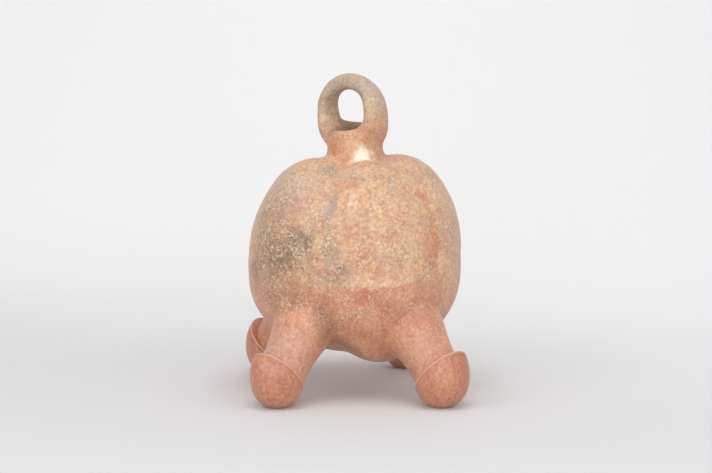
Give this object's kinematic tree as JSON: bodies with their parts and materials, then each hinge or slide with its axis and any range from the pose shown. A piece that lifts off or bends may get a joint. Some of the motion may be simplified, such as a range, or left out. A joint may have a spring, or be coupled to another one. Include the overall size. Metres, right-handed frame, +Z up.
{
  "type": "loop handle vessel",
  "caption": "Four-legged earthenware vessel with a lobed gourd-like body, a short open neck, a loop handle arching over the mouth and splayed legs on domed feet.",
  "frame": {"origin": "on the vessel's axis, at the level of the surface that its four feet stand on", "axes": "+Z up through the mouth and the loop, -Y the front, where one leg stands, and the opening of the loop runs along Y"},
  "size_m": [0.26, 0.2531, 0.2852],
  "materials": {
    "body_slip": "burnished red slip, partly under a pale lime crust",
    "neck_clay": "smoothed orange clay with pale patches",
    "loop_clay": "smoothed buff clay under a thin grey crust",
    "leg_slip": "burnished red slip",
    "foot_slip": "burnished red slip, worn on the rim"
  },
  "bodies": {
    "root": {"body_shell_lower": "body_slip", "body_shell_upper": "body_slip", "neck_collar": "neck_clay", "loop_handle": "loop_clay", "leg_shaft_front": "leg_slip", "leg_shaft_right": "leg_slip", "leg_shaft_back": "leg_slip", "leg_shaft_left": "leg_slip", "foot_cap_front": "foot_slip", "foot_cap_right": "foot_slip", "foot_cap_back": "foot_slip", "foot_cap_left": "foot_slip"}
  },
  "joints": []
}
